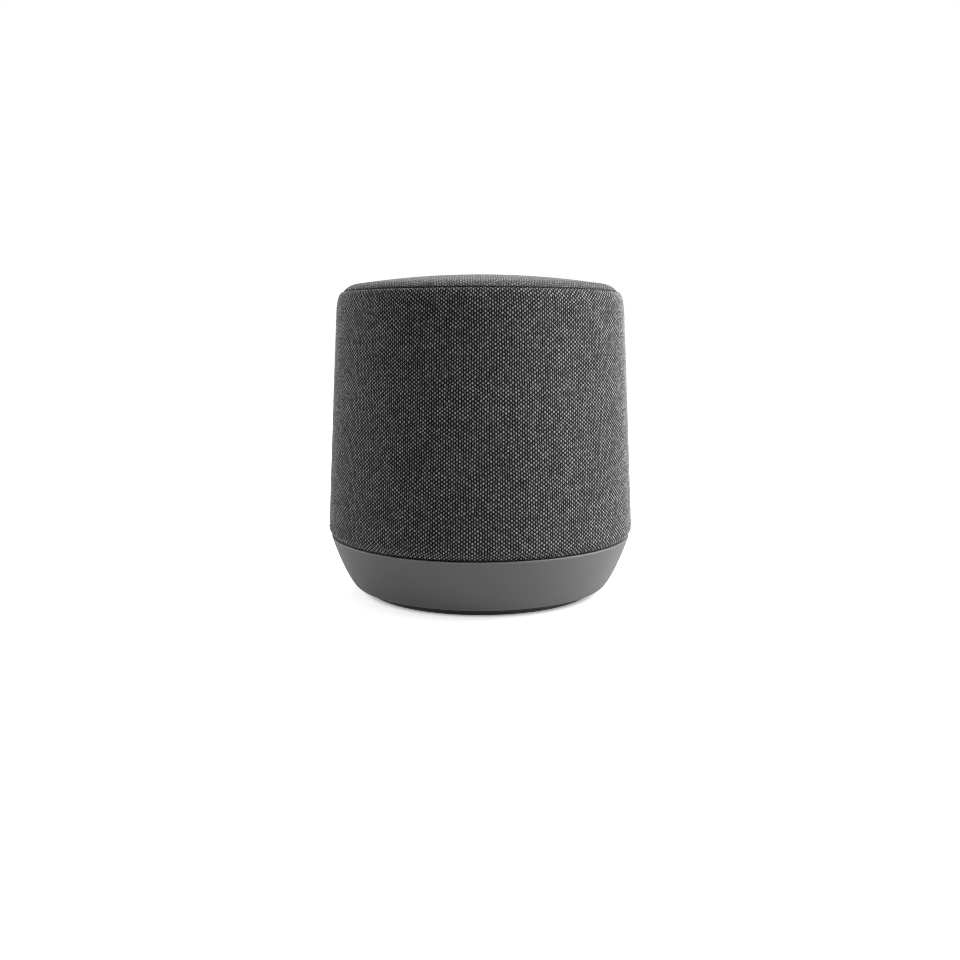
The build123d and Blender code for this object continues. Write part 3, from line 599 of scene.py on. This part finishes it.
def metal(name, colour, rough, stretch=(1, 1, 1), streak=600.0, tarnish=0.1):
    """Bare or plated metal with drawn or rolled streaks and slight tarnish."""
    g = Graph(name, Metallic=1.0)
    lines = g.noise(streak, 3.0, stretch)
    spots = g.noise(90.0, 4.0)
    g.set("Base Color", g.dim(g.colour(colour), g.span(spots, 0.3, 0.75, 1.0, 1 - tarnish)))
    g.set("Roughness", g.span(lines, 0.25, 0.75, rough - 0.06, rough + 0.08))
    g.set("Normal", g.bump(lines, 0.02 * MM, 0.4))
    return g.material


def board_look(name, mask, copper):
    """Solder mask over copper lines, with plated pads here and there."""
    g = Graph(name, Coat_Weight=0.25)
    g.set("Specular IOR Level", 0.5)
    at = g.place()
    lines = {
        "Vector": at,
        "Scale": 420.0,
        "Mortar Size": 0.05,
        "Mortar Smooth": 0.2,
        "Brick Width": 1.6,
        "Row Height": 0.42,
    }
    bricks = g.node("TexBrick", lines, offset=0.37).outputs["Fac"]
    dots = g.node("TexVoronoi", {"Vector": at, "Scale": 330.0}, feature="F1").outputs["Distance"]
    pad = g.span(dots, 0.12, 0.16, 1.0, 0.0)
    masked = g.tint(bricks, mask, tuple(2.1 * c for c in mask))
    mottled = g.dim(masked, g.vary(g.noise(160.0, 3.0), 0.15))
    g.set("Base Color", g.tint(pad, mottled, copper))
    g.set("Metallic", g.math("MULTIPLY", pad, 0.9))
    g.set("Roughness", g.mix(pad, g.span(g.noise(200.0), 0.3, 0.7, 0.34, 0.42), 0.3))
    g.set("Normal", g.bump(g.math("ADD", bricks, pad), 0.03 * MM, 0.6))
    return g.material


def banded(name, dark, light, rough, scale, axis, metallic=0.0, distortion=0.3):
    """Fine parallel bands, as of wound wire or the lines of a flat cable."""
    g = Graph(name, Metallic=metallic)
    wave = g.node(
        "TexWave",
        {"Vector": g.place(), "Scale": scale, "Distortion": distortion, "Detail": 2.0},
        wave_type="BANDS",
        bands_direction=axis,
    ).outputs["Fac"]
    g.set("Base Color", g.tint(wave, dark, light))
    g.set("Roughness", g.span(wave, 0, 1, rough + 0.1, rough - 0.05))
    g.set("Normal", g.bump(wave, 0.06 * MM, 0.7))
    return g.material


def fibrous(name, colour, rough, scale, depth):
    """Pressed fibre, felt or foam."""
    g = Graph(name, Sheen_Weight=0.12)
    tangle = g.noise(scale, 5.0, rough=0.7)
    cells = g.node("TexVoronoi", {"Vector": g.place(), "Scale": scale * 0.6}).outputs["Distance"]
    g.set("Base Color", g.dim(g.colour(colour), g.vary(tangle, 0.3)))
    g.set("Roughness", g.span(tangle, 0.3, 0.7, rough - 0.06, rough + 0.05))
    g.set("Normal", g.bump(g.math("ADD", tangle, cells), depth, 0.8))
    return g.material


def netted(name, colour, gap, scale):
    """Resin-stiffened open cloth, for the driver's spider."""
    g = Graph(name)
    x, y, _ = g.node("SeparateXYZ", {0: g.place()}).outputs
    waves = [g.math("SINE", g.math("MULTIPLY", axis, scale)) for axis in (x, y)]
    threads = [g.math("ABSOLUTE", wave) for wave in waves]
    woven = g.math("MULTIPLY", *threads)
    g.set("Base Color", g.tint(woven, gap, colour))
    g.set("Roughness", g.span(woven, 0, 1, 0.8, 0.62))
    g.set("Normal", g.bump(woven, 0.08 * MM, 0.8))
    return g.material


def lens_look(name, colour, rough):
    """Milky light guide or LED resin."""
    g = Graph(name, Subsurface_Weight=0.2)
    cloud = g.noise(240.0, 3.0)
    deeper = tuple(0.86 * c for c in colour)
    g.set("Base Color", g.tint(g.span(cloud, 0.3, 0.7), colour, deeper))
    g.set("Roughness", g.span(cloud, 0.3, 0.7, rough, rough + 0.12))
    g.set("Normal", g.bump(cloud, 0.01 * MM, 0.3))
    return g.material


def satin(name, colour, edge):
    """The base's satin plastic, smooth with the faintest orange peel.

    The edge is a pair of heights: a painted highlight along the rounded top edge makes it paler
    from the first to the second.
    """
    g = Graph(name)
    g.set("Specular IOR Level", 0.4)
    peel = g.noise(900.0, 2.0)
    grain = g.noise(5200.0, 2.0, rough=0.7)
    flow = g.noise(16.0, 2.0, (1, 1, 2.4))
    tone = g.math("MULTIPLY", g.vary(flow, 0.015), g.vary(grain, 0.03))
    # Painted highlight along the base's rounded top edge.
    painted_highlight = g.span(g.height_here(), *edge, 1.0, 1.45)
    g.set("Base Color", g.dim(g.dim(g.colour(colour), tone), painted_highlight))
    g.set("Roughness", g.span(g.noise(60.0, 3.0), 0.3, 0.7, 0.46, 0.5))
    fine = g.bump(grain, 0.006 * MM, 0.5)
    g.set("Normal", g.bump(peel, 0.01 * MM, 0.25, fine))
    return g.material


SLEEVE_LOW, SLEEVE_HIGH = (corner.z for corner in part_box("fabric_sleeve"))
# Heights of the painted shade where the covers are tucked in: the sleeve's hem and neck, and the
# cap's foot.
SLEEVE_TUCK_SHADE = (
    (SLEEVE_LOW + 0.1 * MM, SLEEVE_LOW + 0.9 * MM),
    (SLEEVE_HIGH, SLEEVE_HIGH - 0.4 * MM),
)
CAP_TUCK_SHADE = ((SLEEVE_HIGH + 0.1 * MM, SLEEVE_HIGH + 1.0 * MM),)
BASE_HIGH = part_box("base_shell")[1].z
# Heights over which the painted highlight on the base's top edge rises.
BASE_HIGHLIGHT_BAND = (BASE_HIGH - 1.0 * MM, BASE_HIGH - 0.4 * MM)

# Colours of the warp, of the weft, and of the painted shade in the gaps between yarns; the cap's
# gap shade is lighter.
SLEEVE_COLOURS = (0.25, 0.25, 0.252), (0.02, 0.02, 0.02), (0.001, 0.001, 0.001)
CAP_COLOURS = (0.185, 0.185, 0.187), (0.07, 0.07, 0.07), (0.02, 0.02, 0.02)

# Each row is a material slot, the kind of its look, and that look's own values.
LOOK_ROWS = (
    ("sleeve_fabric", weave_look, *SLEEVE_COLOURS, SLEEVE_TUCK_SHADE, True),
    ("cap_fabric", weave_look, *CAP_COLOURS, CAP_TUCK_SHADE),
    ("base_plastic", satin, (0.125, 0.125, 0.126), BASE_HIGHLIGHT_BAND),
    ("bottom_plastic", moulded, (0.03, 0.03, 0.031), 0.62, 2600.0, 0.03 * MM),
    ("bay_plastic", moulded, (0.06, 0.06, 0.061), 0.55, 2600.0, 0.025 * MM),
    ("control_plastic", moulded, (0.3, 0.3, 0.303), 0.45, 3000.0, 0.01 * MM),
    ("socket_plastic", moulded, (0.015, 0.015, 0.015), 0.4, 1800.0, 0.01 * MM),
    ("contact_metal", metal, (0.7, 0.69, 0.66), 0.2),
    ("foot_rubber", moulded, (0.1, 0.1, 0.1), 0.78, 1500.0, 0.04 * MM, 0.12, 0.3),
    ("black_plastic", moulded, (0.02, 0.02, 0.021), 0.55, 2200.0, 0.02 * MM, 0.1),
    ("circuit_board", board_look, (0.01, 0.06, 0.03), (0.75, 0.6, 0.3)),
    ("tin_plate", metal, (0.62, 0.62, 0.6), 0.34, (1, 9, 1), 260.0, 0.16),
    ("chip_resin", moulded, (0.018, 0.018, 0.018), 0.6, 3600.0, 0.02 * MM, 0.15),
    ("anodised_aluminium", metal, (0.36, 0.37, 0.38), 0.42, (1, 7, 1), 420.0),
    ("capacitor_can", metal, (0.6, 0.6, 0.62), 0.28, (1, 1, 0.1), 900.0, 0.06),
    ("connector_nylon", moulded, (0.62, 0.58, 0.48), 0.5, 2400.0, 0.01 * MM),
    ("seal_foam", fibrous, (0.03, 0.03, 0.032), 0.95, 2400.0, 0.12 * MM),
    ("light_guide", lens_look, (0.8, 0.8, 0.78), 0.3),
    ("led_lens", lens_look, (0.72, 0.7, 0.55), 0.18),
    ("basket_metal", metal, (0.12, 0.12, 0.125), 0.48, (1, 1, 1), 1500.0, 0.2),
    ("ferrite", moulded, (0.03, 0.029, 0.028), 0.5, 1400.0, 0.04 * MM, 0.2),
    ("plated_steel", metal, (0.6, 0.58, 0.5), 0.3, (1, 1, 1), 700.0, 0.22),
    ("cone_pulp", fibrous, (0.035, 0.035, 0.036), 0.85, 1500.0, 0.09 * MM),
    ("roll_rubber", moulded, (0.02, 0.02, 0.02), 0.6, 1200.0, 0.02 * MM, 0.12, 0.4),
    ("spider_cloth", netted, (0.46, 0.3, 0.12), (0.2, 0.12, 0.04), 5200.0),
    ("coil_former", banded, (0.5, 0.3, 0.1), (0.62, 0.4, 0.15), 0.4, 60.0, "Z"),
    ("coil_wire", banded, (0.2, 0.06, 0.02), (0.72, 0.3, 0.12), 0.32, 640.0, "Z", 0.9, 0.1),
    ("lead_insulation", moulded, (0.32, 0.02, 0.02), 0.5, 1600.0, 0.02 * MM),
    ("ribbon_film", banded, (0.4, 0.4, 0.41), (0.62, 0.62, 0.6), 0.42, 160.0, "X", 0.0, 0.0),
    ("screw_steel", metal, (0.3, 0.3, 0.31), 0.36, (1, 1, 1), 1100.0, 0.2),
)
LOOKS = {slot: look(slot, *values) for slot, look, *values in LOOK_ROWS}


def dress(node, material):
    """Gives a CAD piece its finish."""
    piece = frame["nodes"][node]
    if not piece.material_slots:
        piece.data.materials.append(material)
    for slot in piece.material_slots:
        slot.material = material


for part in frame["record"]["subparts"]:
    dress(part["node"], LOOKS[part["material_slot"]])

# ---------------------------------------------------------------- the two woven covers
sleeve, sleeve_flat = make_sleeve()
sleeve.data.materials.append(LOOKS["sleeve_fabric"])
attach(sleeve, "housing")
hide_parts("fabric_sleeve")

cap, cap_reach = make_cap()
cap.data.materials.append(LOOKS["cap_fabric"])
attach(cap, "housing")
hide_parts("cap_fabric")


# ---------------------------------------------------------------- the driver's rings
def make_flexing(node, slot, moving, axis, still_radius, moving_radius):
    """A copy of the ring in place of the CAD piece, and each point's share of the way from the
    still radius to the moving one; nothing moves it.
    """
    source = frame["nodes"][node]
    ring = bpy.data.objects.new("flexing_" + node, source.data.copy())
    ring.matrix_world = source.matrix_world
    bpy.context.scene.collection.objects.link(ring)
    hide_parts(node)
    low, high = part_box(node)
    middle = (low + high) / 2
    side = (axis + 1) % 3
    start, end = middle.copy(), middle.copy()
    start[side] += still_radius
    end[side] += moving_radius
    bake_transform(ring)
    # The share of each point runs from the still radius to the moving one, alike all round the
    # axis.
    points = np.empty(3 * len(ring.data.vertices))
    ring.data.vertices.foreach_get("co", points)
    across = np.delete(points.reshape(-1, 3) - np.array(middle), axis, axis=1)
    share = np.hypot(across[:, 0], across[:, 1])
    share = np.clip((share - still_radius) / (moving_radius - still_radius), 0, 1)
    share = share**2 * (3 - 2 * share)


# The ring, its slot, the moving body, the ring's axis, and the radii where it stays and moves
for ring_row in (
    ("woofer_surround", "roll_rubber", "woofer_moving", 2, 38.2 * MM, 33.6 * MM),
    ("woofer_spider", "spider_cloth", "woofer_moving", 2, 27.0 * MM, 13.8 * MM),
    ("radiator_left_surround", "roll_rubber", "radiator_left", 0, 24.1 * MM, 19.9 * MM),
    ("radiator_right_surround", "roll_rubber", "radiator_right", 0, 24.1 * MM, 19.9 * MM),
):
    make_flexing(*ring_row)


# ---------------------------------------------------------------- floor, light and camera
def make_floor():
    """A plain white floor that runs out of sight."""
    mesh = bpy.data.meshes.new("floor")
    half = FLOOR_SIZE / 2
    sides = ((-half, -half), (half, -half), (half, half), (-half, half))
    mesh.from_pydata([(x, y, FLOOR_LEVEL) for x, y in sides], [], [(0, 1, 2, 3)])
    floor = bpy.data.objects.new("floor", mesh)
    bpy.context.scene.collection.objects.link(floor)
    g = Graph("floor_white", Roughness=0.9)
    g.set("Specular IOR Level", 0.1)
    seen = g.node("LightPath").outputs["Is Camera Ray"]
    g.set("Base Color", g.tint(seen, FLOOR_GREY, FLOOR_GREY_SEEN))
    away = g.node("VectorMath", {0: g.place()}, operation="LENGTH").outputs["Value"]
    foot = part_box("foot_ring")[1].x
    # Painted shadows on the floor: a short dark one at the foot, and a fainter one under the
    # base's overhang.
    painted_contact_shadow = g.span(away, foot, foot + CONTACT_SHADOW_REACH, CONTACT_SHADOW_TONE, 1.0)
    painted_overhang_shadow = g.span(away, foot, foot + OVERHANG_SHADOW_REACH, OVERHANG_SHADOW_TONE, 1.0)
    open_floor = g.span(away, OPEN_NEAR, OPEN_FAR, OPEN_NEAR_TONE, OPEN_FAR_TONE)
    glow = g.math("MULTIPLY", g.math("MULTIPLY", painted_contact_shadow, painted_overhang_shadow), open_floor)
    g.set("Emission Color", (1, 1, 1, 1))
    g.set("Emission Strength", g.mix(seen, FLOOR_GLOW_CAST, glow))
    # Clear from below, so that the underside can be looked at.
    below = g.node("NewGeometry").outputs["Backfacing"]
    g.set("Alpha", g.math("SUBTRACT", 1.0, below))
    mesh.materials.append(g.material)


def area_light(name, azimuth, elevation, distance, size, power):
    """A soft panel at an azimuth from the front, positive to the right, facing the object."""
    data = bpy.data.lights.new(name, "AREA")
    data.shape = "RECTANGLE"
    data.size, data.size_y = size
    data.energy = power
    lamp = bpy.data.objects.new(name, data)
    a, e = math.radians(azimuth), math.radians(elevation)
    out = Vector((math.cos(e) * math.sin(a), -math.cos(e) * math.cos(a), math.sin(e)))
    lamp.location = LIGHT_AIM + distance * out
    lamp.rotation_euler = (-out).to_track_quat("-Z", "Y").to_euler()
    bpy.context.scene.collection.objects.link(lamp)


def make_world(ambient):
    """Even surroundings: white behind the object, and a soft grey as light."""
    world = bpy.data.worlds.new("studio")
    bpy.context.scene.world = world
    world.use_nodes = True
    tree = world.node_tree
    tree.nodes.clear()
    path = tree.nodes.new("ShaderNodeLightPath")
    seen, cast = tree.nodes.new("ShaderNodeBackground"), tree.nodes.new("ShaderNodeBackground")
    seen.inputs["Strength"].default_value = 1.0
    seen.inputs["Color"].default_value = (1, 1, 1, 1)
    cast.inputs["Strength"].default_value = ambient
    choice, out = tree.nodes.new("ShaderNodeMixShader"), tree.nodes.new("ShaderNodeOutputWorld")
    tree.links.new(path.outputs["Is Camera Ray"], choice.inputs[0])
    tree.links.new(cast.outputs[0], choice.inputs[1])
    tree.links.new(seen.outputs[0], choice.inputs[2])
    tree.links.new(choice.outputs[0], out.inputs[0])


def make_camera():
    """The camera, in front of the object, looking a little down on it."""
    data = bpy.data.cameras.new("camera")
    data.lens = LENS
    data.sensor_width = 36
    camera = bpy.data.objects.new("camera", data)
    camera.location = (CAMERA_SIDE, -CAMERA_DISTANCE, CAMERA_HEIGHT)
    camera.rotation_euler = (math.pi / 2 - CAMERA_PITCH, 0, 0)
    bpy.context.scene.collection.objects.link(camera)
    bpy.context.scene.camera = camera


make_floor()
make_world(AMBIENT)
# Name, azimuth and elevation in degrees, distance, size, and power in watts
for light_row in (
    ("key_right", 90, 45, 1.1, SIDE_PANEL, 12.1),
    ("key_right_low", 90, 18, 1.1, SIDE_PANEL, 7.4),
    ("key_right_front", 65, 45, 1.1, SIDE_PANEL, 7.2),
    ("rim_left", -110, 18, 1.1, SIDE_PANEL, 8.4),
    ("top_back", 180, 55, 1.3, (1.2, 0.8), 18.5),
    ("top", 0, 85, 1.1, (1.0, 1.0), 0.8),
):
    area_light(*light_row)
make_camera()
bpy.context.scene.view_settings.view_transform = "Standard"
bpy.context.scene.cycles.filter_width = 1.0
